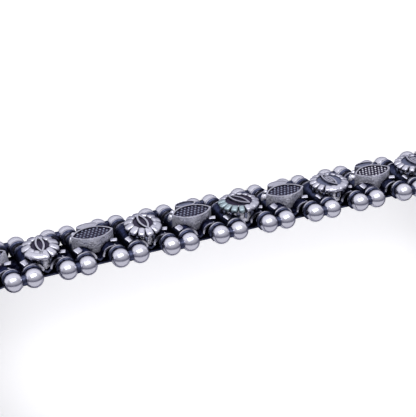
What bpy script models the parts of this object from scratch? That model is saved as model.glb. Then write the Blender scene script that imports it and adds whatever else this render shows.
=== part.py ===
"""Silver chain bracelet: flower and leaf links hinged on pairs of ball-ended pins, closed in a loop.

The loop stands on its edge, as a bangle lies on its side. Each link is modelled lying flat, x along
the band, y across it and z outwards, and is then stood up and turned to its place in the loop.
"""

import math

import bmesh
import bpy
from mathutils import Matrix, Vector

# Driving dimensions in metres

LINK_PITCH = 0.0060
PIN_SPACING = 0.00222
PIN_DIAMETER = 0.00054
BALL_DIAMETER = 0.00216
BALL_SEAT = 0.00070
SIDE_BAR_THICKNESS = 0.00070
SIDE_BAR_HEIGHT = 0.00178
SIDE_BAR_END = 0.00090

BASE_UNDERSIDE = 0.00108
HOOD_SETBACK = 0.00036
HOOD_DROP = 0.00036
CUSP_HALF_WIDTH = 0.00012
CUSP_RISE = 0.00012

BOSS_FOOT = 0.00012
FLOWER_HEIGHT = 0.00192
PETAL_DEPTH = 0.00030
PETAL_SLOPE = 0.00033
DISC_DIAMETER = 0.00378
SEED_LENGTH = 0.00340
SEED_WIDTH = 0.00120
SEED_RISE = 0.00018

LEAF_FRONT_BULGE = 0.00132
LEAF_REAR_BULGE = 0.00144
LEAF_HEIGHT = 0.00180
LEAF_RIM = 0.00026
LEAF_RECESS = 0.00018
LENS_LENGTH = 0.00258
LENS_WIDTH = 0.00120
LENS_HEIGHT = 0.00160
LENS_OVERHANG = 0.00010

CLASP_SPAN = 0.0260
CLASP_PLATE_RISE = 0.00110
CLASP_EDGE = 0.00025

# Clearances in metres

FLOWER_GAP = 0.00100
LEAF_GAP = 0.00110
BOSS_TO_BAR_GAP = 0.00052
HOOD_TO_BAR_GAP = 0.00030
HOOD_TO_HOOD_GAP = 0.00014
PIN_CLEARANCE = 0.00006
CLASP_TO_BALL_GAP = 0.00030

# Counts, angles and shares

PANELS = 30
CLASP_PANEL = 20
TIGHTEST_BEND = math.radians(31)
HOOD_CUSP_ANGLE = math.radians(150)
SHARP_EDGE = math.radians(40)
BALL_SIDES = 10
BALL_RINGS = 4
PIN_SIDES = 5
BORE_SIDES = 6
HOOD_ARC_STEPS = 4
PETALS = 8
SEED_SIDE_POINTS = 3
LEAF_SIDE_POINTS = 4
LENS_SIDES = 6
OVAL_FULLNESS = 0.8
BORE_SHARE = 0.5

# Route of the loop seen from above: the corners of its outline and how far each is rounded, as
# shares of the link pitch. The band is straight between the first two, and the depth of the last
# two is stretched until the links close the loop.

ROUTE_CORNERS = (
    # along, depth, rounding
    (-10.91, 0.00, 0.95),
    (0.43, 0.00, 0.95),
    (0.06, 4.46, 1.20),
    (-11.30, 8.25, 1.30),
)
FIRST_PIN = -9.815
RUN_OUT = 8.0
ROUNDING_STEPS = 24
STRETCH_LIMITS = (0.6, 1.6)
STRETCH_TRIALS = 50

# Hand-set turn and lean of the soldered bosses on the straight run. The rest sit square.

BOSS_SETTING = {
    # panel: degrees of turn in the plane of the band, degrees of lean towards the upper edge
    0: (4, 3),
    2: (9, 4),
    4: (29, 3),
    6: (4, 8),
    8: (4, 8),
}

# Sizes that follow from the ones above

FLOWER_DIAMETER = LINK_PITCH - FLOWER_GAP
LEAF_LENGTH = LINK_PITCH - LEAF_GAP
PANEL_SPAN = LINK_PITCH - PIN_SPACING
BAR_INNER_FACE = FLOWER_DIAMETER / 2 + BOSS_TO_BAR_GAP
BAR_OUTER_FACE = BAR_INNER_FACE + SIDE_BAR_THICKNESS
HALF_ROW = BAR_OUTER_FACE + BALL_SEAT
HALF_WIDTH = HALF_ROW + BALL_DIAMETER / 2
HOOD_HALF_LENGTH = BAR_INNER_FACE - HOOD_TO_BAR_GAP
LENS_OFFSET = HOOD_HALF_LENGTH + LENS_OVERHANG - LENS_WIDTH / 2
HOOD_REACH = HOOD_SETBACK * math.cos(TIGHTEST_BEND) - HOOD_DROP * math.sin(TIGHTEST_BEND)
HOOD_RADIUS = (PIN_SPACING - HOOD_TO_HOOD_GAP) / 2 + HOOD_REACH
PIN_HOLE = (PIN_DIAMETER / 2 + PIN_CLEARANCE) / math.cos(math.pi / BORE_SIDES)
BORE_RADIUS = PIN_HOLE + (1 - BORE_SHARE) * math.hypot(HOOD_SETBACK, HOOD_DROP)


def clear_scene():
    for obj in list(bpy.data.objects):
        bpy.data.objects.remove(obj, do_unlink=True)


def collection(name):
    made = bpy.data.collections.new(name)
    bpy.context.scene.collection.children.link(made)
    return made


def silver(name, colour, roughness):
    """Oxidised silver in one tone."""
    material = bpy.data.materials.new(name)
    material.use_nodes = True
    shader = material.node_tree.nodes["Principled BSDF"]
    shader.inputs["Base Color"].default_value = (*colour, 1)
    shader.inputs["Metallic"].default_value = 1
    shader.inputs["Roughness"].default_value = roughness
    return material


def add_object(name, mesh, where):
    obj = bpy.data.objects.new(name, mesh)
    where.objects.link(obj)
    return obj


def mesh_of(bm, name):
    """The bmesh written to a mesh with its faces turned outwards."""
    bmesh.ops.recalc_face_normals(bm, faces=bm.faces)
    mesh = bpy.data.meshes.new(name)
    bm.to_mesh(mesh)
    bm.free()
    return mesh


def evaluated_mesh(obj):
    graph = bpy.context.evaluated_depsgraph_get()
    return bpy.data.meshes.new_from_object(obj.evaluated_get(graph))


def join_solids(name, first, tools):
    """One mesh from the first mesh and the tools, each a pair of a Boolean operation and a mesh."""
    body = add_object(name, first, CUTTERS)
    for operation, mesh in tools:
        tool = add_object(name + "_tool", mesh, CUTTERS)
        tool.hide_render = True
        tool.display_type = "WIRE"
        modifier = body.modifiers.new(operation, "BOOLEAN")
        modifier.operation = operation
        modifier.object = tool
        modifier.solver = "EXACT"
    bpy.context.view_layer.update()
    result = evaluated_mesh(body)
    result.name = name
    for tool in [modifier.object for modifier in body.modifiers]:
        bpy.data.objects.remove(tool, do_unlink=True)
    bpy.data.objects.remove(body, do_unlink=True)
    return result


def extruded_outline(name, points, half_length):
    """The closed outline, given in x and z, as a solid that runs half_length to each side in y."""
    bm = bmesh.new()
    ring = [bm.verts.new((x, -half_length, z)) for x, z in points]
    face = bm.faces.new(ring)
    pushed = bmesh.ops.extrude_face_region(bm, geom=[face])
    moved = [item for item in pushed["geom"] if isinstance(item, bmesh.types.BMVert)]
    bmesh.ops.translate(bm, verts=moved, vec=(0, 2 * half_length, 0))
    return mesh_of(bm, name)


def prism(name, points, low, high):
    """The closed outline, given in x and y, as a solid from the height low to the height high."""
    bm = bmesh.new()
    face = bm.faces.new([bm.verts.new((x, y, low)) for x, y in points])
    pushed = bmesh.ops.extrude_face_region(bm, geom=[face])
    moved = [item for item in pushed["geom"] if isinstance(item, bmesh.types.BMVert)]
    bmesh.ops.translate(bm, verts=moved, vec=(0, 0, high - low))
    return mesh_of(bm, name)


def sink_inside(mesh, rim, depth):
    """Sinks the top of a prism inside a rim of the given width."""
    bm = bmesh.new()
    bm.from_mesh(mesh)
    face = max(bm.faces, key=lambda face: face.calc_center_median().z)
    bmesh.ops.inset_individual(bm, faces=[face], thickness=rim, depth=0)
    bmesh.ops.translate(bm, verts=face.verts, vec=(0, 0, -depth))
    bm.to_mesh(mesh)
    bm.free()


def rod_along_y(name, radius, half_length, sides, centre, first_corner=0.0):
    """A straight rod across the band, with a corner at the given angle from x towards z."""
    bm = bmesh.new()
    across = Matrix.Rotation(math.radians(90), 4, "X") @ Matrix.Rotation(first_corner, 4, "Z")
    bmesh.ops.create_cone(
        bm,
        cap_ends=True,
        segments=sides,
        radius1=radius,
        radius2=radius,
        depth=2 * half_length,
        matrix=Matrix.Translation(centre) @ across,
    )
    return mesh_of(bm, name)


def ball_mesh(centre):
    """A ball whose poles lie across the band, on the pin's line."""
    bm = bmesh.new()
    bmesh.ops.create_uvsphere(
        bm,
        u_segments=BALL_SIDES,
        v_segments=BALL_RINGS,
        radius=BALL_DIAMETER / 2,
        matrix=Matrix.Translation(centre) @ Matrix.Rotation(math.radians(90), 4, "X"),
    )
    return mesh_of(bm, "ball")


def side_bar_mesh(side):
    """The flat bar that joins the two pins inside one ball pair."""
    half_length = PIN_SPACING / 2 + SIDE_BAR_END
    half_height = SIDE_BAR_HEIGHT / 2
    outline = (
        (-half_length, -half_height),
        (half_length, -half_height),
        (half_length, half_height),
        (-half_length, half_height),
    )
    bar = extruded_outline("bar", outline, SIDE_BAR_THICKNESS / 2)
    bar.transform(Matrix.Translation((0, side * (BAR_INNER_FACE + BAR_OUTER_FACE) / 2, 0)))
    return bar


def pin_link_mesh():
    """Two pins with a ball on each end, held apart by a bar inside each ball pair."""
    tools = [("UNION", side_bar_mesh(1))]
    pin_half_length = (BAR_INNER_FACE + BAR_OUTER_FACE) / 2
    for along in (-PIN_SPACING / 2, PIN_SPACING / 2):
        pin = rod_along_y("pin", PIN_DIAMETER / 2, pin_half_length, PIN_SIDES, (along, 0, 0))
        tools.append(("UNION", pin))
        for across in (-HALF_ROW, HALF_ROW):
            tools.append(("UNION", ball_mesh((along, across, 0))))
    return join_solids("pin_link", side_bar_mesh(-1), tools)


def hood_points(centre, direction):
    """The round of a hood that faces along direction, from its foot at the underside to the cusp."""
    start = -math.asin((BASE_UNDERSIDE - HOOD_DROP) / HOOD_RADIUS)
    room = min((centre - CUSP_HALF_WIDTH) / HOOD_RADIUS, -math.cos(HOOD_CUSP_ANGLE))
    end = math.acos(-room)
    points = []
    for step in range(HOOD_ARC_STEPS + 1):
        angle = start + (end - start) * step / HOOD_ARC_STEPS
        along = centre + HOOD_RADIUS * math.cos(angle)
        points.append((direction * along, HOOD_RADIUS * math.sin(angle) - HOOD_DROP))
    return points


def hood_bores(span):
    """The holes for the two pins: each lies between its hood's centre and its pin, a corner towards it."""
    tools = []
    for direction in (-1, 1):
        along = direction * (span / 2 - HOOD_SETBACK * (1 - BORE_SHARE))
        centre = (along, 0, -HOOD_DROP * (1 - BORE_SHARE))
        corner = math.atan2(HOOD_DROP, HOOD_SETBACK * direction)
        bore = rod_along_y("bore", BORE_RADIUS, 2 * HALF_WIDTH, BORE_SIDES, centre, corner)
        tools.append(("DIFFERENCE", bore))
    return tools


def motif_base():
    """The stamped base: two hoods side by side that meet in a cusp."""
    centre = PANEL_SPAN / 2 - HOOD_SETBACK
    outline = hood_points(centre, 1) + [(0, CUSP_RISE)] + hood_points(centre, -1)[::-1]
    return extruded_outline("base", outline, HOOD_HALF_LENGTH)


def flower_tools():
    """The round boss: petals that slope up to a flat disc, with a raised seed on it."""
    petal_top = FLOWER_HEIGHT - PETAL_SLOPE
    valley = FLOWER_DIAMETER / 2 - PETAL_DEPTH
    points = []
    for index in range(2 * PETALS):
        angle = math.pi * index / PETALS
        radius = valley if index % 2 else FLOWER_DIAMETER / 2
        points.append((radius * math.cos(angle), radius * math.sin(angle)))
    boss = prism("boss", points, -BOSS_FOOT, petal_top)
    disc = bmesh.new()
    bmesh.ops.create_cone(
        disc,
        cap_ends=True,
        segments=PETALS,
        radius1=valley,
        radius2=DISC_DIAMETER / 2,
        depth=2 * PETAL_SLOPE,
        matrix=Matrix.Translation((0, 0, petal_top)),
    )
    seed = leaf_outline(SEED_LENGTH, SEED_WIDTH / 2, SEED_WIDTH / 2, SEED_SIDE_POINTS)
    seed_top = FLOWER_HEIGHT + SEED_RISE
    stone = prism("seed", [(y, x) for x, y in seed], petal_top, seed_top)
    return [boss, mesh_of(disc, "disc"), stone]


def leaf_outline(length, front, rear, points):
    """A pointed oval along x that bulges by front towards +y and by rear towards -y."""
    outline = []
    for bulge, way in ((front, 1), (-rear, -1)):
        for step in range(points):
            share = -1 + 2 * step / points
            x = way * share * length / 2
            outline.append((x, bulge * math.cos(math.pi / 2 * share) ** OVAL_FULLNESS))
    return outline


def leaf_tools():
    """The leaf boss with its sunk field, and the smooth lens behind it."""
    outline = leaf_outline(LEAF_LENGTH, LEAF_FRONT_BULGE, LEAF_REAR_BULGE, LEAF_SIDE_POINTS)
    boss = prism("boss", outline, -BOSS_FOOT, LEAF_HEIGHT)
    sink_inside(boss, LEAF_RIM, LEAF_RECESS)
    lens = [
        (
            LENS_LENGTH / 2 * math.cos(2 * math.pi * index / LENS_SIDES),
            LENS_WIDTH / 2 * math.sin(2 * math.pi * index / LENS_SIDES) - LENS_OFFSET,
        )
        for index in range(LENS_SIDES)
    ]
    return [boss, prism("lens", lens, -BOSS_FOOT, LENS_HEIGHT)]


def motif_link_mesh(kind, turn, lean):
    """A base with a flower or a leaf soldered on it, bored for its two pins."""
    forms = flower_tools() if kind == "flower" else leaf_tools()
    place = Matrix.Rotation(math.radians(turn), 4, "Z") @ Matrix.Rotation(math.radians(-lean), 4, "X")
    for form in forms:
        form.transform(place)
    tools = [("UNION", form) for form in forms]
    return join_solids(kind + "_link", motif_base(), tools + hood_bores(PANEL_SPAN))


def clasp_mesh():
    """A plain closed clasp with a hood at each end and a flat plate between them."""
    centre = CLASP_SPAN / 2 - HOOD_SETBACK
    outline = hood_points(centre, 1) + hood_points(centre, -1)[::-1]
    base = extruded_outline("clasp_base", outline, HOOD_HALF_LENGTH)
    half_plate = CLASP_SPAN / 2 - BALL_DIAMETER / 2 - CLASP_TO_BALL_GAP
    plate = bmesh.new()
    bmesh.ops.create_cube(plate, size=1)
    bmesh.ops.scale(
        plate,
        verts=plate.verts,
        vec=(2 * half_plate, 2 * HALF_WIDTH, BASE_UNDERSIDE + CLASP_PLATE_RISE),
    )
    bmesh.ops.translate(
        plate, verts=plate.verts, vec=(0, 0, (CLASP_PLATE_RISE - BASE_UNDERSIDE) / 2)
    )
    bmesh.ops.bevel(
        plate,
        geom=plate.edges,
        offset=CLASP_EDGE,
        affect="EDGES",
        segments=1,
        profile=0.5,
        material=-1,
    )
    tools = [("UNION", mesh_of(plate, "plate"))]
    return join_solids("clasp", base, tools + hood_bores(CLASP_SPAN))


def rounded_route(stretch):
    """The loop's outline as short steps, from the first pin round to itself and on along the run-out."""
    corners = [
        (Vector((along, depth * stretch)) * LINK_PITCH, rounding * LINK_PITCH)
        for along, depth, rounding in ROUTE_CORNERS
    ]
    rounds = []
    for index, (corner, radius) in enumerate(corners):
        before = (corners[index - 1][0] - corner).normalized()
        after = (corners[(index + 1) % len(corners)][0] - corner).normalized()
        half_angle = before.angle(after) / 2
        centre = corner + (before + after).normalized() * radius / math.sin(half_angle)
        entry = corner + before * radius / math.tan(half_angle)
        sweep = math.pi - 2 * half_angle
        for step in range(ROUNDING_STEPS + 1):
            turned = Matrix.Rotation(sweep * step / ROUNDING_STEPS, 2)
            rounds.append(centre + turned @ (entry - centre))
    start = Vector((FIRST_PIN * LINK_PITCH, 0))
    first_round = ROUNDING_STEPS + 1
    end = start + Vector((RUN_OUT * LINK_PITCH, 0))
    return [start] + rounds[first_round:] + rounds[:first_round] + [start, end]


def walk_route(path, spans):
    """The pins met when the spans are laid end to end along the path, and the length left after them."""
    pins = [path[0]]
    tail = path[0]
    leg = 1
    for span in spans:
        here = pins[-1]
        while (path[leg] - here).length < span and leg < len(path) - 1:
            tail = path[leg]
            leg += 1
        step = (path[leg] - tail).normalized()
        lead = (tail - here).dot(step)
        height = (tail - here).length_squared - lead * lead
        tail = tail + step * (math.sqrt(span * span - height) - lead)
        pins.append(tail)
    rest = path[leg:]
    left = (rest[0] - tail).length + sum((b - a).length for a, b in zip(rest, rest[1:]))
    return pins, left


def close_loop(spans):
    """The pins of the loop, its depth stretched until the last pin meets the first."""
    low, high = STRETCH_LIMITS
    for _ in range(STRETCH_TRIALS):
        stretch = (low + high) / 2
        pins, left = walk_route(rounded_route(stretch), spans)
        if left > RUN_OUT * LINK_PITCH:
            high = stretch
        else:
            low = stretch
    return pins


def place_link(obj, first_pin, second_pin):
    """Stands the link up between its two pins, on its lower row of balls."""
    middle = (first_pin + second_pin) / 2
    run = second_pin - first_pin
    obj.location = (middle.x, middle.y, HALF_WIDTH)
    obj.rotation_euler = (math.radians(90), 0, math.atan2(run.y, run.x))


def shade(mesh, material):
    mesh.materials.clear()
    mesh.materials.append(material)
    mesh.shade_smooth()
    mesh.set_sharp_from_angle(angle=SHARP_EDGE)


def motif_kind(panel):
    """Flowers and leaves take turns, from a flower in the first panel."""
    return "leaf" if panel % 2 else "flower"


clear_scene()
PARTS = collection("chain_bracelet")
CUTTERS = collection("cutters")
origin = bpy.data.objects.new("bracelet_origin", None)
PARTS.objects.link(origin)

FINISHES = {
    "pin_link": silver("polished_silver_balls", (0.72, 0.71, 0.74), 0.22),
    "flower": silver("oxidised_silver_flower", (0.52, 0.51, 0.56), 0.34),
    "leaf": silver("oxidised_silver_leaf", (0.48, 0.48, 0.53), 0.38),
    "clasp": silver("plain_silver_clasp", (0.62, 0.61, 0.65), 0.30),
}

spans = []
for panel in range(PANELS):
    spans += [CLASP_SPAN if panel == CLASP_PANEL else PANEL_SPAN, PIN_SPACING]
pins = close_loop(spans)

pin_mesh = pin_link_mesh()
shade(pin_mesh, FINISHES["pin_link"])
motif_meshes = {}
for panel in range(PANELS):
    first, second, third = pins[2 * panel : 2 * panel + 3]
    if panel == CLASP_PANEL:
        name = "clasp"
        mesh = clasp_mesh()
        shade(mesh, FINISHES["clasp"])
    else:
        kind = motif_kind(panel)
        name = f"{kind}_link_{panel + 1:02d}"
        design = (kind, *BOSS_SETTING.get(panel, (0, 0)))
        if design not in motif_meshes:
            motif_meshes[design] = motif_link_mesh(*design)
            shade(motif_meshes[design], FINISHES[kind])
        mesh = motif_meshes[design]
    place_link(add_object(name, mesh, PARTS), first, second)
    place_link(add_object(f"pin_link_{panel + 1:02d}", pin_mesh, PARTS), second, third)

links = [obj for obj in PARTS.objects if obj is not origin]
for link in links:
    link.parent = origin
bpy.context.view_layer.update()
points = [link.matrix_world @ vertex.co for link in links for vertex in link.data.vertices]
middle = [(min(p[axis] for p in points) + max(p[axis] for p in points)) / 2 for axis in range(2)]
origin.location = (-middle[0], -middle[1], -min(p.z for p in points))
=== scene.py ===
# %% [markdown]
# # A hinged silver chain bracelet
#
# The bracelet is a closed band of small cast panels, flowers and leaves by turns. Pairs of cross
# pins with a ball on each end hinge one panel to the next, and a plain clasp closes the band. It
# stands on its edge, as a bangle lies on its side.
#
# The exact model comes first, as a fixed frame that nothing here moves. Every visible piece is then
# modelled lying flat and copied to each place in the loop where the frame has its link. That way a
# ball, a hood or a flower is drawn once, however often it comes back.

import math

import bmesh
import bpy
from mathutils import Matrix, Vector


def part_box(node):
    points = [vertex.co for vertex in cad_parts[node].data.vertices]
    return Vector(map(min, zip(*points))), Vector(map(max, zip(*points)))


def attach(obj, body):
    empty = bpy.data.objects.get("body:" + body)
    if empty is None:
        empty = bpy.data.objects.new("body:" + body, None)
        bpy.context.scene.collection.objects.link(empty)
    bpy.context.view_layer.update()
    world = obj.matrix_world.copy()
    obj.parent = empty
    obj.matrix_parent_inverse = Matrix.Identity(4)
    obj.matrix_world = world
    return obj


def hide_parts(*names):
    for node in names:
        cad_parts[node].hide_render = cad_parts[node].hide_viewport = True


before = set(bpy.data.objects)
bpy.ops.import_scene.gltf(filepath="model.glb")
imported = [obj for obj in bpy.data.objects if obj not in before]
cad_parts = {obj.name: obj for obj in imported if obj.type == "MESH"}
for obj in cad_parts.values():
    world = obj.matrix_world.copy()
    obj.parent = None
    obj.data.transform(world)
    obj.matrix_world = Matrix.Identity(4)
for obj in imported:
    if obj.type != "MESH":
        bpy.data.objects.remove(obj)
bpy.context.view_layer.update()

# %% [markdown]
# ## Where each link stands
#
# Each link was modelled lying flat, with x along the band, y across it and z outwards, then stood
# up and turned. To put a new piece in the same place, the same matrix is needed again. It can be
# typed in from a list, or found from the frame. Finding it is safer, because it stays right when
# the loop changes. The side bar of a pin link has a large flat face that looks straight outwards,
# so that face's normal gives the direction of the band there.

# %% Sizes of the band
MM = 0.001
MERGE = 0.001 * MM
PANELS = 30
PIN_SPACING = 2.22 * MM
PANEL_SPAN = 3.78 * MM
CLASP_SPAN = 26.0 * MM
LINK_PITCH = PANEL_SPAN + PIN_SPACING
UPRIGHT = 0.01  # most that an upright face's normal may point up or down


def node_name(number):
    """The frame's name for a panel, counted from 1 along the band."""
    numbered = [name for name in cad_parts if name.endswith(f"_{number:02d}")]
    panels = [name for name in numbered if not name.startswith("pin_link")]
    return panels[0] if panels else "clasp"


def pin_link_middle(number):
    low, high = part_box(f"pin_link_{number:02d}")
    return (low + high) / 2


def pin_link_way(number):
    """The direction of the band at a pin link, from the normal of its flattest upright face."""
    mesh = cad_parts[f"pin_link_{number:02d}"].data
    upright = [face for face in mesh.polygons if abs(face.normal.z) < UPRIGHT]
    outwards = max(upright, key=lambda face: face.area).normal
    way = Vector((0, 0, 1)).cross(outwards)
    onwards = pin_link_middle(number % PANELS + 1) - pin_link_middle(number)
    return way if way.dot(onwards) > 0 else -way


def standing(middle, way):
    """The matrix that takes a link from lying flat at the origin to its place in the loop."""
    upright = Matrix.Rotation(math.radians(90), 4, "X")
    turned = Matrix.Rotation(math.atan2(way.y, way.x), 4, "Z")
    return Matrix.Translation(middle) @ turned @ upright


pin_places = {}
for number in range(1, PANELS + 1):
    pin_places[number] = (pin_link_middle(number), pin_link_way(number))

panel_places = {}
for number in range(1, PANELS + 1):
    before, way_before = pin_places[(number - 2) % PANELS + 1]
    after, way_after = pin_places[number]
    first_pin = before + way_before * PIN_SPACING / 2
    second_pin = after - way_after * PIN_SPACING / 2
    panel_places[number] = ((first_pin + second_pin) / 2, (second_pin - first_pin))
print("panel spans in mm:", [round(run.length / MM, 2) for _, run in panel_places.values()])

# %% [markdown]
# ## One helper for nodes, one for colours
#
# Every finish here is silver, so the materials differ in how dark, how rough and how pitted the
# metal is. Colours are written as the sRGB hex values that a picture shows. Blender computes with
# linear light, so one function converts them.

# %% Node and colour helpers
def linear(code):
    """An sRGB hex colour as the linear red, green, blue and alpha that a shader needs."""
    shares = [int(code[place : place + 2], 16) / 255 for place in (1, 3, 5)]
    bent = [s / 12.92 if s <= 0.04045 else ((s + 0.055) / 1.055) ** 2.4 for s in shares]
    return (*bent, 1)


def add_node(tree, kind, inputs=(), **settings):
    """Adds a node, gives it its settings, and feeds each input a value or another node's output."""
    node = tree.nodes.new(kind)
    for name, value in settings.items():
        setattr(node, name, value)
    for name, value in dict(inputs).items():
        if isinstance(value, bpy.types.NodeSocket):
            tree.links.new(value, node.inputs[name])
        else:
            node.inputs[name].default_value = value
    return node


print("sRGB #808080 in linear light:", round(linear("#808080")[0], 3))

# %% [markdown]
# ## Silver that has been blackened and rubbed, with painted shade
#
# Jewellers blacken silver with sulphur and then rub it bright again, so the high places shine and
# the hollows stay nearly black. The hollows could be painted by hand with vertex colours, or left
# to an Ambient Occlusion node, which measures how shut in each spot is. The node suits a piece with
# this many small hollows. Its dark is partly that blackening and partly painted shade, since it
# also falls in crevices, under the bosses and between the parts, where shade lies. A noise breaks
# up the edge of the dark, and a finer noise gives the cast skin its pits. Every finish also has the
# same dark edge tint, a painted shade that darkens the metal where it is seen at a glancing angle
# and so outlines each piece.

# %% The silver finishes
# Painted shade: every finish turns this dark where it is seen at a glancing angle.
EDGE_SHADE_TINT = "#6C6C7C"
CLOUD_RANGE = (0.4, 0.6)  # where nearly all values of a noise lie
DULLER_IN_THE_DARK = 0.25


def silver(
    name, bright, dark, reach, rubbed, cloud_size, cloud_share, roughness, pit_size, pit_depth
):
    """Blackened silver, with its lengths in mm.

    It is dark where less than the first share in rubbed of what lies within reach is open, and
    bright past the second. Clouds shift those shares to and fro by cloud_share. The dark is partly
    the blackening left in hollows and partly painted shade where the parts shut each other in.
    """
    material = bpy.data.materials.new(name)
    material.use_nodes = True
    tree = material.node_tree
    shader = tree.nodes["Principled BSDF"]
    shader.inputs["Metallic"].default_value = 1
    shader.inputs["Specular Tint"].default_value = linear(EDGE_SHADE_TINT)
    place = add_node(tree, "ShaderNodeTexCoord").outputs["Object"]
    # Ambient occlusion: the blackening in the hollows, and painted shade wherever the parts shut
    # in.
    shut_in = add_node(tree, "ShaderNodeAmbientOcclusion", {"Distance": reach * MM}, samples=8)
    cloud = add_node(
        tree, "ShaderNodeTexNoise", {"Vector": place, "Scale": 1 / (cloud_size * MM), "Detail": 3.0}
    )
    wobble = add_node(
        tree,
        "ShaderNodeMapRange",
        {
            "Value": cloud.outputs["Fac"],
            "From Min": CLOUD_RANGE[0],
            "From Max": CLOUD_RANGE[1],
            "To Min": -cloud_share,
            "To Max": cloud_share,
        },
    )
    open_to_rubbing_and_light = add_node(
        tree, "ShaderNodeMath", {0: shut_in.outputs["AO"], 1: wobble.outputs[0]}, operation="ADD"
    )
    tone = add_node(tree, "ShaderNodeValToRGB", {"Fac": open_to_rubbing_and_light.outputs[0]})
    low, high = tone.color_ramp.elements
    low.position, high.position = rubbed
    low.color, high.color = linear(dark), linear(bright)
    tree.links.new(tone.outputs["Color"], shader.inputs["Base Color"])
    gloss = add_node(
        tree,
        "ShaderNodeMapRange",
        {
            "Value": open_to_rubbing_and_light.outputs[0],
            "From Min": rubbed[0],
            "From Max": rubbed[1],
            "To Min": min(1.0, roughness + DULLER_IN_THE_DARK),
            "To Max": roughness,
        },
    )
    tree.links.new(gloss.outputs[0], shader.inputs["Roughness"])
    skin = add_node(
        tree, "ShaderNodeTexNoise", {"Vector": place, "Scale": 1 / (pit_size * MM), "Detail": 4.0}
    )
    bump = add_node(
        tree,
        "ShaderNodeBump",
        {"Height": skin.outputs["Fac"], "Strength": 1.0, "Distance": pit_depth * MM},
    )
    tree.links.new(bump.outputs["Normal"], shader.inputs["Normal"])
    return material


SILVERS = (
    # Name, bright and dark colour, reach, open shares between which it turns bright, size and share
    # of the clouds, roughness, size and depth of the pits.
    #
    # The balls are smooth enough to mirror their surroundings, a little softly.
    ("polished_silver_ball", "#B4B4C0", "#1A182C", 0.8, (0.24, 0.66), 0.8, 0.05, 0.22, 0.55, 0.010),
    # Rims and petals are bright only on their crests, where a finger or a sleeve rubs them.
    ("rubbed_cast_silver", "#ABABB8", "#17162A", 0.6, (0.40, 0.90), 0.5, 0.10, 0.24, 0.28, 0.020),
    # The walls keep the sandy skin of the casting, so they look matte and speckled.
    ("pitted_cast_silver", "#EFEFFA", "#3A3752", 0.3, (0.12, 0.86), 0.26, 0.40, 0.46, 0.20, 0.120),
    # The sunk grounds were never rubbed, so the dark stays whole.
    ("blackened_silver", "#4A4655", "#16152A", 0.5, (0.40, 0.95), 0.7, 0.07, 0.45, 0.20, 0.012),
    # Old dark on the folded sheet has a blue sheen. Its long reach also paints shade under the
    # bosses and between the panels, and it darkens the pins' plate and necks as painted shade.
    ("folded_silver_sheet_and_shade", "#40445A", "#0D0C1C", 1.2, (0.48, 1.0), 0.5, 0.20, 0.32, 0.40, 0.020),
    # The clasp has an even satin surface.
    ("satin_silver_clasp", "#B0B0B8", "#2A2838", 0.7, (0.30, 0.75), 0.9, 0.04, 0.33, 0.25, 0.008),
    # Copper in the alloy turns green where damp has stayed.
    ("green_patina_on_silver", "#8D9BA3", "#2B343E", 0.6, (0.36, 0.90), 0.5, 0.1, 0.42, 0.25, 0.02),
    # Some grounds were rubbed through to grey silver.
    ("worn_grey_silver", "#777B90", "#26263C", 0.6, (0.30, 0.90), 0.5, 0.14, 0.34, 0.30, 0.030),
)
POLISHED, RUBBED, PITTED, BLACKENED, SHEET_AND_SHADE, PLAIN, PATINA, WORN = (silver(*row) for row in SILVERS)
FINISHES = (RUBBED, PITTED, BLACKENED, PATINA, WORN)
BRIGHT, MATTE, DARK, GREEN, GREY = range(len(FINISHES))
print("finishes:", [material.name for material in bpy.data.materials])

# %% [markdown]
# ## From a bmesh to a piece in its place
#
# A shape that comes back thirty times is built once and copied. Each copy's vertices are moved to
# its own place in the loop, so the object itself stays at the origin.

# %% Helpers that finish a piece
SHARP_EDGE = math.radians(38)


def finished_mesh(bm, name, materials):
    """The bmesh as a mesh with its doubles merged, its faces outwards and its soft edges smooth."""
    bmesh.ops.remove_doubles(bm, verts=bm.verts, dist=MERGE)
    bmesh.ops.recalc_face_normals(bm, faces=bm.faces)
    mesh = bpy.data.meshes.new(name)
    bm.to_mesh(mesh)
    bm.free()
    for material in materials:
        mesh.materials.append(material)
    mesh.shade_smooth()
    mesh.set_sharp_from_angle(angle=SHARP_EDGE)
    return mesh


def put(name, template, place, node):
    """A copy of the template at that place, riding with the frame and standing for its node."""
    mesh = template.copy()
    mesh.name = name
    mesh.transform(place)
    piece = bpy.data.objects.new(name, mesh)
    bpy.context.scene.collection.objects.link(piece)
    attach(piece, "root")
    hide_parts(node)
    return piece


def triangles(mesh):
    return sum(len(face.vertices) - 2 for face in mesh.polygons)


def painted(bm, finish):
    """The bmesh with every face in one finish."""
    for face in bm.faces:
        face.material_index = finish
    return bm


def measure(name, bm):
    """Prints the size of a shape that is only tried out, and frees it."""
    height = max(vertex.co.z for vertex in bm.verts)
    print(name, "faces:", len(bm.faces), "height in mm:", round(height / MM, 2))
    bm.free()


print("edges stay sharp from", round(math.degrees(SHARP_EDGE)), "degrees")

# %% [markdown]
# ## Ball-ended pins
#
# Two cross pins lie side by side in each joint, and a small plate with two round ears holds them
# apart at each end. Each pin ends in a ball of solid silver. A ball could be spun from half a
# circle, but a UV sphere is the same thing ready made, with its poles turned onto the pin. Solder
# fills the neck between the two balls of a pair, and a plate under the pins closes the band. Neck
# and plate are in the dark sheet finish as painted shade, for the crevice between the balls and the
# deep shade between the panels.

# %% Model one pin link
BALL_RADIUS = 1.08 * MM
BALL_ROW = 4.42 * MM
BALL_FACES = (32, 18)  # round the pin, and from pole to pole
PIN_RADIUS = 0.27 * MM
PIN_SIDES = 12
NECK_LENGTH = 0.56 * MM
NECK_RADIUS = 0.60 * MM
NECK_SIDES = 16
EAR_FACES = (3.02 * MM, 3.72 * MM)
EAR_RADIUS = 1.10 * MM
EAR_SIDES = 28
EAR_ROUNDING = 0.24 * MM
RIM_ANGLE = math.radians(60)
BRIDGE = (3.60 * MM, 7.36 * MM, 0.20 * MM)
BRIDGE_LEVEL = -0.92 * MM


def across_band(where):
    """A matrix for a round shape whose own z axis is to lie across the band."""
    return Matrix.Translation(where) @ Matrix.Rotation(math.radians(90), 4, "X")


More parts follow.
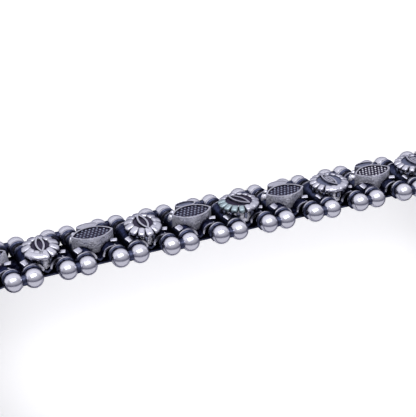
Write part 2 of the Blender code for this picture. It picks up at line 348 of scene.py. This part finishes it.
pin_link = bmesh.new()
for along in (-PIN_SPACING / 2, PIN_SPACING / 2):
    bmesh.ops.create_cone(
        pin_link,
        cap_ends=True,
        segments=PIN_SIDES,
        radius1=PIN_RADIUS,
        radius2=PIN_RADIUS,
        depth=2 * EAR_FACES[1],
        matrix=across_band((along, 0, 0)),
    )
    for side in (-1, 1):
        bmesh.ops.create_uvsphere(
            pin_link,
            u_segments=BALL_FACES[0],
            v_segments=BALL_FACES[1],
            radius=BALL_RADIUS,
            matrix=across_band((along, side * BALL_ROW, 0)),
        )
        ear = bmesh.ops.create_cone(
            pin_link,
            cap_ends=True,
            segments=EAR_SIDES,
            radius1=EAR_RADIUS,
            radius2=EAR_RADIUS,
            depth=EAR_FACES[1] - EAR_FACES[0],
            matrix=across_band((along, side * sum(EAR_FACES) / 2, 0)),
        )["verts"]
        rims = {edge for vertex in ear for edge in vertex.link_edges if len(edge.link_faces) == 2}
        rims = [edge for edge in rims if edge.calc_face_angle() > RIM_ANGLE]
        bevelled = bmesh.ops.bevel(
            pin_link,
            geom=rims,
            offset=EAR_ROUNDING,
            affect="EDGES",
            segments=3,
            profile=0.5,
            material=-1,
        )
        sides = {face for vertex in ear if vertex.is_valid for face in vertex.link_faces}
        for face in sides | set(bevelled["faces"]):
            face.material_index = 1
# Painted shade: the plate under the pins and the necks between the balls take the dark sheet
# finish.
painted_shade_verts = bmesh.ops.create_cube(
    pin_link,
    size=1,
    matrix=Matrix.Translation((0, 0, BRIDGE_LEVEL)) @ Matrix.Diagonal((*BRIDGE, 1)),
)["verts"]
for side in (-1, 1):
    painted_shade_verts += bmesh.ops.create_cone(
        pin_link,
        cap_ends=True,
        segments=NECK_SIDES,
        radius1=NECK_RADIUS,
        radius2=NECK_RADIUS,
        depth=NECK_LENGTH,
        matrix=Matrix.Translation((0, side * BALL_ROW, 0))
        @ Matrix.Rotation(math.radians(90), 4, "Y"),
    )["verts"]
for face in {face for vertex in painted_shade_verts for face in vertex.link_faces}:
    face.material_index = 1
pin_link_mesh = finished_mesh(pin_link, "pin_link_look", [POLISHED, SHEET_AND_SHADE])
for number, (middle, way) in pin_places.items():
    node = f"pin_link_{number:02d}"
    put(f"ball_pins_{number:02d}", pin_link_mesh, standing(middle, way), node)
print("pin link triangles:", triangles(pin_link_mesh))

# %% [markdown]
# ## The folded base of a panel
#
# Under each motif a strip of silver sheet is folded into two half-round hoods, side by side, which
# the pins run through. A long edge spun round a hood's own axis makes the first one. Its mirror
# image is the second, and solidify gives the sheet its thickness. Each hood is a little slimmer in
# the middle, and the rim at its end is bright where it stands highest, partly rubbed and partly a
# painted highlight.

# %% Model the hoods
SHEET_WALL = 0.20 * MM
HOOD_LENGTH = 2 * 2.72 * MM
HOOD_RADIUS = 1.163 * MM
HOOD_DROP = 0.36 * MM
HOOD_SETBACK = 0.42 * MM
HOOD_BAND = 0.20 * MM
WAIST_START = 1.4 * HOOD_BAND
HOOD_WAIST = 0.90
HOOD_STEPS = 16
RUBBED_AND_HIGHLIT_LEVEL = -0.30 * MM
SEAM_LEVEL = -0.42 * MM
UNDERSIDE = -1.08 * MM
CUSP_ANGLE = math.radians(172)


def hood_shell(span):
    """Two hoods joined by a strip under them, with their middles span apart less the setbacks."""
    bm = bmesh.new()
    centre = Vector((span / 2 - HOOD_SETBACK, 0, -HOOD_DROP))
    foot_angle = math.asin((UNDERSIDE + HOOD_DROP) / HOOD_RADIUS)
    foot = Vector((math.cos(foot_angle), 0, math.sin(foot_angle))) * HOOD_RADIUS
    half = HOOD_LENGTH / 2
    profile = ((half, 1), (half - HOOD_BAND, 1), (half - WAIST_START, HOOD_WAIST))
    stations = [(-y, share) for y, share in profile] + list(reversed(profile))
    row = [bm.verts.new(centre + foot * share + Vector((0, y, 0))) for y, share in stations]
    first = [bm.edges.new(pair) for pair in zip(row, row[1:])]
    spun = bmesh.ops.spin(
        bm,
        geom=first,
        cent=centre,
        axis=(0, -1, 0),
        angle=CUSP_ANGLE - foot_angle,
        steps=HOOD_STEPS,
    )["geom_last"]
    last = [item for item in spun if isinstance(item, bmesh.types.BMEdge)]
    for edges, height in ((last, SEAM_LEVEL), (first, UNDERSIDE)):
        made = bmesh.ops.extrude_edge_only(bm, edges=edges)["geom"]
        for vertex in (item for item in made if isinstance(item, bmesh.types.BMVert)):
            vertex.co.x, vertex.co.z = 0, height
    whole = bm.verts[:] + bm.edges[:] + bm.faces[:]
    bmesh.ops.mirror(bm, geom=whole, axis="X", merge_dist=MERGE)
    bmesh.ops.remove_doubles(bm, verts=bm.verts, dist=MERGE)
    bmesh.ops.recalc_face_normals(bm, faces=bm.faces)
    bmesh.ops.solidify(bm, geom=bm.faces[:], thickness=SHEET_WALL)
    # The upper end rims are bright: partly rubbed wear, partly a painted highlight.
    for face in bm.faces:
        middle = face.calc_center_median()
        if abs(middle.y) > half - HOOD_BAND and middle.z > RUBBED_AND_HIGHLIT_LEVEL:
            face.material_index = 1
    return bm


panel_hoods = finished_mesh(hood_shell(PANEL_SPAN), "hoods_look", [SHEET_AND_SHADE, RUBBED])
lowest = min(vertex.co.z for vertex in panel_hoods.vertices)
print("hood triangles:", triangles(panel_hoods), "lowest in mm:", round(lowest / MM, 2))

# %% [markdown]
# ## Steps in relief
#
# Both motifs are flat-topped bosses with raised rims and sunk fields. Inset makes a ring inside a
# face and keeps the face, so a wall, a rim and a sunk ground are three short steps: raise, inset,
# lower. Pointed ovals are two arcs, each spun from a single vertex at one tip.

# %% Helpers for relief
ARC_STEPS = 14


def raise_face(bm, face, height):
    """Pulls a face up into a wall and returns the face on top."""
    made = bmesh.ops.extrude_face_region(bm, geom=[face])["geom"]
    moved = [item for item in made if isinstance(item, bmesh.types.BMVert)]
    bmesh.ops.translate(bm, verts=moved, vec=(0, 0, height))
    return next(item for item in made if isinstance(item, bmesh.types.BMFace))


def step_in(bm, face, rim, height, finish):
    """Leaves a rim round a face and moves the rest by height, in another finish."""
    bmesh.ops.inset_individual(bm, faces=[face], thickness=rim, use_even_offset=True)
    moved = raise_face(bm, face, height)
    bmesh.ops.delete(bm, geom=[face], context="FACES_ONLY")
    moved.material_index = finish
    return moved


def pointed_oval(bm, length, front, rear):
    """A face along x with a tip at each end, which bulges by front towards +y, rear towards -y."""
    for way, bulge in ((1, front), (-1, rear)):
        radius = ((length / 2) ** 2 + bulge**2) / (2 * bulge)
        tip = bm.verts.new((length / 2, 0, 0))
        bmesh.ops.spin(
            bm,
            geom=[tip],
            cent=(0, way * (bulge - radius), 0),
            axis=(0, 0, way),
            angle=2 * math.asin(length / 2 / radius),
            steps=ARC_STEPS,
        )
    bmesh.ops.remove_doubles(bm, verts=bm.verts, dist=MERGE)
    return bmesh.ops.contextual_create(bm, geom=bm.edges[:])["faces"][0]


def joined(parts):
    """One bmesh from several pairs of a bmesh and the matrix that places it."""
    whole = bmesh.new()
    for part, place in parts:
        mesh = bpy.data.meshes.new("part")
        bmesh.ops.recalc_face_normals(part, faces=part.faces)
        bmesh.ops.transform(part, matrix=place, verts=part.verts)
        part.to_mesh(mesh)
        part.free()
        whole.from_mesh(mesh)
        bpy.data.meshes.remove(mesh)
    return whole


trial = bmesh.new()
pointed_oval(trial, 2 * MM, 0.5 * MM, 0.5 * MM)
measure("pointed oval", trial)

# %% [markdown]
# ## The flower
#
# The flower is a low drum with fat petals round its top, a flat sunk disc and, on the disc, a
# pointed seed drawn by a raised line. The petals could be cut from one ring, but a rounded block
# set out round a circle gives each its own width, as hand-cut petals have. Small upright curls fill
# the side of the drum between them. On some flowers a few neighbouring petals are rubbed into one
# smooth band, which is their section spun part of the way round.

# %% Model the flower
FLOWER_FOOT = 0.12 * MM
FLOWER_HEIGHT = 1.72 * MM
DISC_RADIUS = 1.58 * MM
DRUM_RADIUS = 2.18 * MM
DRUM_SIDES = 60
PETALS = 15
PETAL_RING = 1.96 * MM
PETAL_LEVEL = 1.43 * MM
PETAL_TILT = math.radians(20)
PETAL_SIZE = (1.02 * MM, 0.80 * MM, 0.62 * MM)
PETAL_ROUNDING = 0.27 * MM
PETAL_SPREAD = 0.08  # share by which the petals' widths swing
PETAL_SWING = 2.4  # radians of that swing from one petal to the next
BAND_SIDES = 14  # of its section
BAND_STEPS = 4  # from one petal to the next
CURL_RING = 2.16 * MM
CURL_LEVEL = 0.70 * MM
CURL_SIZE = (0.30 * MM, 0.40 * MM, 0.70 * MM)
SEED_LENGTH = 3.4 * MM
SEED_WIDTH = 1.2 * MM
SEED_RISE = 0.16 * MM
SEED_LINE = 0.23 * MM
SEED_DIP = 0.14 * MM
INNER_SEED = (0.62, 0.50)  # shares of the seed's length and width
DISC_DIP = 0.08 * MM


def flower_drum(ground):
    bm = bmesh.new()
    bmesh.ops.create_cone(
        bm,
        cap_ends=True,
        segments=DRUM_SIDES,
        radius1=DRUM_RADIUS,
        radius2=DISC_RADIUS,
        depth=FLOWER_HEIGHT + FLOWER_FOOT,
        matrix=Matrix.Translation((0, 0, (FLOWER_HEIGHT - FLOWER_FOOT) / 2)),
    )
    painted(bm, MATTE)
    disc = max(bm.faces, key=lambda face: face.calc_center_median().z)
    disc.material_index = ground
    step_in(bm, disc, DISC_DIP, -DISC_DIP, ground)
    return bm


def rounded_block(size, rounding, finish):
    bm = bmesh.new()
    bmesh.ops.create_cube(bm, size=1, matrix=Matrix.Diagonal((*size, 1)))
    bmesh.ops.bevel(
        bm,
        geom=bm.edges[:],
        offset=rounding,
        affect="EDGES",
        segments=3,
        profile=0.5,
        material=-1,
    )
    return painted(bm, finish)


def seed(length, width):
    """A pointed oval with a raised line round a sunk dark field."""
    bm = bmesh.new()
    outline = pointed_oval(bm, length, width / 2, width / 2)
    outline.material_index = BRIGHT
    top = raise_face(bm, outline, DISC_DIP + SEED_RISE)
    step_in(bm, top, SEED_LINE, -SEED_DIP, DARK)
    return bm


def worn_band(first, last, petals):
    """The petals from first to last rubbed into one smooth band, with its ends in those two."""
    bm = bmesh.new()
    step = 2 * math.pi / petals
    to_first = (
        Matrix.Rotation(step * first, 4, "Z")
        @ Matrix.Translation((PETAL_RING, 0, PETAL_LEVEL))
        @ Matrix.Rotation(PETAL_TILT, 4, "Y")
    )
    corners = []
    for index in range(BAND_SIDES):
        angle = 2 * math.pi * index / BAND_SIDES
        corner = Vector((PETAL_SIZE[0] * math.cos(angle), 0, PETAL_SIZE[2] * math.sin(angle))) / 2
        corners.append(bm.verts.new(to_first @ corner))
    section = bm.faces.new(corners)
    bmesh.ops.spin(
        bm,
        geom=[section],
        cent=(0, 0, 0),
        axis=(0, 0, 1),
        angle=step * (last - first),
        steps=BAND_STEPS * (last - first),
    )
    return painted(bm, BRIGHT)


def flower(green=(), worn=(), ground=DARK, petals=PETALS):
    """The flower, with the numbers of its green petals and the first and last of its worn ones."""
    parts = [(flower_drum(ground), Matrix.Identity(4))]
    across = Matrix.Rotation(math.radians(90), 4, "Z")
    seed_place = Matrix.Translation((0, 0, FLOWER_HEIGHT - DISC_DIP)) @ across
    parts.append((seed(SEED_LENGTH, SEED_WIDTH), seed_place))
    if ground == GREY:
        inner = seed(INNER_SEED[0] * SEED_LENGTH, INNER_SEED[1] * SEED_WIDTH)
        parts.append((inner, seed_place))
    if worn:
        parts.append((worn_band(*worn, petals), Matrix.Identity(4)))
    fuller = PETALS / petals
    ring = PETAL_RING - (fuller - 1) * PETAL_SIZE[0] / 2
    for index in range(petals):
        spoke = Matrix.Rotation(2 * math.pi * index / petals, 4, "Z")
        width = fuller * (1 + PETAL_SPREAD * math.sin(PETAL_SWING * index))
        place = (
            spoke
            @ Matrix.Translation((ring, 0, PETAL_LEVEL))
            @ Matrix.Rotation(PETAL_TILT, 4, "Y")
            @ Matrix.Diagonal((fuller, width, 1, 1))
        )
        finish = GREEN if index in green else BRIGHT
        parts.append((rounded_block(PETAL_SIZE, PETAL_ROUNDING, finish), place))
        between = spoke @ Matrix.Rotation(math.pi / petals, 4, "Z")
        curl_place = between @ Matrix.Translation((CURL_RING, 0, CURL_LEVEL))
        parts.append((rounded_block(CURL_SIZE, PETAL_ROUNDING / 2, GREY), curl_place))
    return joined(parts)


measure("flower", flower())

# %% [markdown]
# ## The leaf
#
# The leaf is a pointed oval with a thin bright rim round a sunk dark field full of small grains.
# Fine grains could be a bump in the material, but they catch the light as beads do, so they are
# beads with few faces. Behind the leaf lies a lens with its own rim, either sunk and grey or nearly
# level and bright, and beside that a round bead on a lobe.

# %% Model the leaf
LEAF_LENGTH = 4.9 * MM
LEAF_FRONT = 1.32 * MM
LEAF_REAR = 1.44 * MM
LEAF_HEIGHT = 1.75 * MM
LENS_LENGTH = 2.58 * MM
LENS_WIDTH = 1.20 * MM
LENS_HEIGHT = 1.56 * MM
LENS_OFFSET = 2.10 * MM
LENS_SIDES = 28
LENS_DIP = {GREY: 0.12 * MM, BRIGHT: 0.02 * MM}
LENS_RIM = 0.14 * MM
LEAF_RIM = 0.17 * MM
LEAF_DIP = 0.16 * MM
GRAIN_STEP = 0.44 * MM
GRAIN_ROW = 0.46 * MM
GRAIN_RADII = (0.15 * MM, 0.16 * MM, 0.14 * MM)
GRAIN_DEPTH = 0.15 * MM  # from the rim down to a grain's middle
GRAIN_FACES = (8, 5)
FIELD_MARGIN = 0.32 * MM
DOME_FACES = (20, 12)
DOMES = (
    # radii, middle, finish
    ((0.62 * MM, 0.55 * MM, 0.90 * MM), (1.75 * MM, -1.55 * MM, 0.10 * MM), MATTE),
    ((0.34 * MM, 0.34 * MM, 0.34 * MM), (1.75 * MM, -1.60 * MM, 0.98 * MM), BRIGHT),
)


def leaf_body():
    bm = bmesh.new()
    outline = pointed_oval(bm, LEAF_LENGTH, LEAF_FRONT, LEAF_REAR)
    outline.material_index = MATTE
    top = raise_face(bm, outline, LEAF_HEIGHT + FLOWER_FOOT)
    top.material_index = BRIGHT
    step_in(bm, top, LEAF_RIM, -LEAF_DIP, DARK)
    bmesh.ops.translate(bm, verts=bm.verts, vec=(0, 0, -FLOWER_FOOT))
    return bm


def field_edge(x, bulge):
    """How far the field reaches across the band at x, on the side that bulges that much."""
    radius = ((LEAF_LENGTH / 2) ** 2 + bulge**2) / (2 * bulge)
    return math.sqrt(radius**2 - x**2) - (radius - bulge)


def bead(radii, middle, faces, finish):
    """A stretched sphere and its place, with that many faces round it and from pole to pole."""
    bm = bmesh.new()
    bmesh.ops.create_uvsphere(bm, u_segments=faces[0], v_segments=faces[1], radius=1)
    return painted(bm, finish), Matrix.Translation(middle) @ Matrix.Diagonal((*radii, 1))


def grains(finish):
    """The grains of the field, in rows along the leaf, every second row shifted by half a step."""
    parts = []
    for row in range(-3, 4):
        y = row * GRAIN_ROW
        for step in range(-6, 7):
            x = (step + 0.5 * (row % 2)) * GRAIN_STEP
            if abs(x) > LEAF_LENGTH / 2:
                continue
            rear = FIELD_MARGIN - field_edge(x, LEAF_REAR)
            front = field_edge(x, LEAF_FRONT) - FIELD_MARGIN
            if rear < y < front:
                middle = (x, y, LEAF_HEIGHT - GRAIN_DEPTH)
                parts.append(bead(GRAIN_RADII, middle, GRAIN_FACES, finish))
    return parts


def lens(field):
    bm = bmesh.new()
    bmesh.ops.create_circle(bm, cap_ends=True, segments=LENS_SIDES, radius=0.5)
    bmesh.ops.scale(bm, verts=bm.verts, vec=(LENS_LENGTH, LENS_WIDTH, 1))
    top = raise_face(bm, bm.faces[:][0], LENS_HEIGHT + FLOWER_FOOT)
    top.material_index = BRIGHT
    step_in(bm, top, LENS_RIM, -LENS_DIP[field], field)
    bmesh.ops.translate(bm, verts=bm.verts, vec=(0, -LENS_OFFSET, -FLOWER_FOOT))
    return bm


def leaf(lens_field, grain_finish):
    parts = [(leaf_body(), Matrix.Identity(4)), (lens(lens_field), Matrix.Identity(4))]
    parts += grains(grain_finish)
    for radii, middle, finish in DOMES:
        parts.append(bead(radii, middle, DOME_FACES, finish))
    return joined(parts)


measure("leaf", leaf(GREY, GREY))

# %% [markdown]
# ## The solder tabs
#
# Bright scraps beside each boss show where it was soldered to the hoods. The same rounded block as
# for a petal, smaller and flatter and tilted three ways, is enough at their size.

# %% Model the tabs
TAB_ROUNDING = 0.08 * MM
TABS = (
    # length, width and thickness, middle, degrees of turn about z, degrees of tilt about x
    ((0.95, 0.80, 0.26), (2.18, 1.75, 0.66), 35, -28),
    ((0.80, 0.50, 0.24), (-2.15, 1.15, 0.72), -20, -20),
    ((0.62, 0.44, 0.22), (-1.95, 2.05, 0.42), 50, -30),
)


def with_tabs(boss):
    """The boss and its tabs in one bmesh."""
    pieces = [(boss, Matrix.Identity(4))]
    for size, middle, turn, tilt in TABS:
        tab = rounded_block([side * MM for side in size], TAB_ROUNDING, BRIGHT)
        place = Matrix.Translation(Vector(middle) * MM)
        place = place @ Matrix.Rotation(math.radians(turn), 4, "Z")
        pieces.append((tab, place @ Matrix.Rotation(math.radians(tilt), 4, "X")))
    return joined(pieces)


print("tabs beside each boss:", len(TABS))

# %% [markdown]
# ## Panels round the loop
#
# The bosses were soldered on by hand, so those on the straight run each have their own turn, lean
# and width, and wear has made some petals and grounds differ. Short tables say how. The rest sit
# square and alike. Panels with the same kind, setting and look share one template.

# %% Put the panels in place
BOSS_SETTING = {
    # panel number: degrees of turn in the plane of the band, degrees of lean towards its upper
    # edge, and the share of the full width along the band where that isn't 1
    1: (4, 3),
    2: (0, 8),
    3: (9, 4, 0.96),
    4: (0, 8),
    5: (29, 3),
    6: (0, 8),
    7: (4, 8, 0.88),
    8: (0, 6),
    9: (-6, 8, 0.86),
}
LEAF_LOOKS = {
    # panel number: finish of the lens, finish of the grains
    2: (GREY, BRIGHT),
    4: (BRIGHT, GREY),
    8: (BRIGHT, GREY),
}
PETAL_LOOKS = {
    # panel number: green petals, first and last worn petal, finish of the disc, number of petals
    1: ((), (4, 6), GREY, 15),
    3: ((), (2, 6), GREY, 15),
    5: ((13, 14, 0, 1, 2), (3, 6), DARK, 15),
    7: ((), (4, 5), DARK, 12),
    9: ((), (1, 3), DARK, 11),
}


def boss_turn(turn, lean, narrowing=1):
    """The matrix that turns, leans and narrows a boss."""
    turned = Matrix.Rotation(math.radians(turn), 4, "Z")
    leaned = Matrix.Rotation(math.radians(-lean), 4, "X")
    return Matrix.Diagonal((narrowing, 1, 1, 1)) @ (turned @ leaned)


templates = {}
for number, (middle, run) in panel_places.items():
    node = node_name(number)
    if node == "clasp":
        continue
    kind = node.split("_")[0]
    setting = BOSS_SETTING.get(number, (0, 0))
    look = PETAL_LOOKS.get(number, ((), (), DARK, PETALS))
    if kind == "leaf":
        look = LEAF_LOOKS.get(number, (GREY, GREY))
    design = (kind, setting, look)
    if design not in templates:
        boss = leaf(*look) if kind == "leaf" else flower(*look)
        bmesh.ops.transform(boss, matrix=boss_turn(*setting), verts=boss.verts)
        templates[design] = finished_mesh(with_tabs(boss), f"{kind}_look", FINISHES)
    place = standing(middle, run)
    put(f"{kind}_{number:02d}", templates[design], place, node)
    put(f"hoods_{number:02d}", panel_hoods, place, node)
for (kind, setting, _), mesh in templates.items():
    print(kind, "turned and leaned by", setting[:2], "triangles:", triangles(mesh))

# %% [markdown]
# ## The clasp
#
# The clasp is one plain plate, with a hood at each end for the last pins. A box with rounded edges
# is enough for it, in a satin finish.

# %% Model the clasp
CLASP_TO_BALL_GAP = 0.30 * MM
CLASP_PLATE = (CLASP_SPAN - 2 * (BALL_RADIUS + CLASP_TO_BALL_GAP), 11.0 * MM, 2.18 * MM)
CLASP_LEVEL = 0.01 * MM  # of the plate's middle over the pins' axes
CLASP_ROUNDING = 0.25 * MM

plate = bmesh.new()
bmesh.ops.create_cube(
    plate,
    size=1,
    matrix=Matrix.Translation((0, 0, CLASP_LEVEL)) @ Matrix.Diagonal((*CLASP_PLATE, 1)),
)
bmesh.ops.bevel(
    plate,
    geom=plate.edges[:],
    offset=CLASP_ROUNDING,
    affect="EDGES",
    segments=4,
    profile=0.5,
    material=-1,
)
end_hoods = painted(hood_shell(CLASP_SPAN), 0)
clasp_parts = [(plate, Matrix.Identity(4)), (end_hoods, Matrix.Identity(4))]
clasp_mesh = finished_mesh(joined(clasp_parts), "clasp_look", [PLAIN])
clasp_number = next(number for number in panel_places if node_name(number) == "clasp")
put("clasp_plate", clasp_mesh, standing(*panel_places[clasp_number]), "clasp")
print("clasp triangles:", triangles(clasp_mesh))

# %% [markdown]
# ## Floor
#
# The floor is a wide sheet of white acrylic that gives off a little light of its own, as a light
# table does, so the bracelet's shadow stays faint.

# %% Floor
FLOOR_HALF_WIDTH = 3.0
FLOOR_GLOW = 0.40
floor_mesh = bmesh.new()
bmesh.ops.create_grid(floor_mesh, x_segments=1, y_segments=1, size=FLOOR_HALF_WIDTH)
floor = bpy.data.objects.new("floor", bpy.data.meshes.new("floor"))
floor_mesh.to_mesh(floor.data)
floor_mesh.free()
bpy.context.scene.collection.objects.link(floor)
floor_material = bpy.data.materials.new("lit_white_acrylic")
floor_material.use_nodes = True
acrylic = floor_material.node_tree.nodes["Principled BSDF"]
acrylic.inputs["Base Color"].default_value = linear("#FAFAFA")
acrylic.inputs["Roughness"].default_value = 0.7
acrylic.inputs["Emission Color"].default_value = linear("#FFFFFF")
acrylic.inputs["Emission Strength"].default_value = FLOOR_GLOW
floor.data.materials.append(floor_material)
print("floor faces:", len(floor.data.polygons))

# %% [markdown]
# ## Light
#
# Silver shows mostly what it reflects, so the light is a soft tent all round. Lamps alone would
# leave it black with a few small highlights. The tent's tones run from front to back: white in
# front, grey overhead, then a dark stretch, and white again behind. One large soft panel in front
# adds shadows with a direction.

# %% Lights
TENT_STRENGTH = 1.25
TENT_TONES = (
    # share of the way from front to back, tone
    (0.02, "#6E6E80"),
    (0.09, "#FFFFFF"),
    (0.28, "#DCDBDE"),
    (0.46, "#B8B7BC"),
    (0.60, "#5C5C70"),
    (0.65, "#5C5C70"),
    (0.69, "#F2F1F4"),
)


def soft_panel(name, where, aim, size, power):
    light = bpy.data.lights.new(name, "AREA")
    light.shape = "RECTANGLE"
    light.size, light.size_y = size
    light.energy = power
    panel = bpy.data.objects.new(name, light)
    bpy.context.scene.collection.objects.link(panel)
    panel.location = where
    panel.rotation_euler = (Vector(aim) - Vector(where)).to_track_quat("-Z", "Y").to_euler()


world = bpy.data.worlds.new("studio")
world.use_nodes = True
sky = world.node_tree
way_out = add_node(
    sky,
    "ShaderNodeSeparateXYZ",
    {"Vector": add_node(sky, "ShaderNodeTexCoord").outputs["Generated"]},
)
front_to_back = add_node(
    sky, "ShaderNodeMapRange", {"Value": way_out.outputs["Y"], "From Min": -1.0, "From Max": 1.0}
)
tent = add_node(sky, "ShaderNodeValToRGB", {"Fac": front_to_back.outputs[0]})
ramp = tent.color_ramp
while len(ramp.elements) < len(TENT_TONES):
    ramp.elements.new(1.0)
for element, (share, tone) in zip(ramp.elements, TENT_TONES):
    element.position = share
    element.color = linear(tone)
sky.links.new(tent.outputs["Color"], sky.nodes["Background"].inputs["Color"])
sky.nodes["Background"].inputs["Strength"].default_value = TENT_STRENGTH
bpy.context.scene.world = world
bpy.context.scene.view_settings.view_transform = "Standard"
soft_panel("front_panel", (0.1, -0.60, 0.30), (0, 0, 0), (0.8, 0.45), 4)
print("lights:", [light.name for light in bpy.data.lights])

# %% [markdown]
# ## Camera
#
# The camera looks down on the straight run from its outer side. Points along the run are counted in
# link pitches from its right end, so the view follows the links.

# %% Camera
LINKS_IN_THE_RUN = 9
STATION_ZERO = pin_link_middle(1) + Vector((LINKS_IN_THE_RUN * LINK_PITCH, 0, 0))
IMAGE_SIZE = (416, 417)
FOCAL_PIXELS = 1047
TURN = math.radians(20.46)
RISE = math.radians(24.15)
ROLL = math.radians(3.89)
DISTANCE = 21.0 * LINK_PITCH
AIM = (5.048, 0.508, 0)
SENSOR_WIDTH = 36


def in_the_band(along, across, outwards):
    """A point given in link pitches from the right end of the straight run."""
    return STATION_ZERO + Vector((-along, -outwards, -across)) * LINK_PITCH


forward = Vector(
    (-math.sin(TURN) * math.cos(RISE), math.sin(RISE), -math.cos(TURN) * math.cos(RISE))
)
right = Vector((-math.cos(TURN), 0, math.sin(TURN)))
up = right.cross(forward)
image_right = right * math.cos(ROLL) - up * math.sin(ROLL)
image_up = right * math.sin(ROLL) + up * math.cos(ROLL)
target = in_the_band(*AIM)
camera = bpy.data.objects.new("camera", bpy.data.cameras.new("camera"))
bpy.context.scene.collection.objects.link(camera)
turn = Matrix((image_right, image_up, -forward)).transposed()
camera.matrix_world = Matrix.Translation(target - forward * DISTANCE) @ turn.to_4x4()
camera.data.sensor_width = SENSOR_WIDTH
camera.data.lens = FOCAL_PIXELS * SENSOR_WIDTH / max(IMAGE_SIZE)
camera.data.clip_start = 0.01
bpy.context.scene.camera = camera
print("camera at", camera.matrix_world.translation, "lens", round(camera.data.lens, 1))
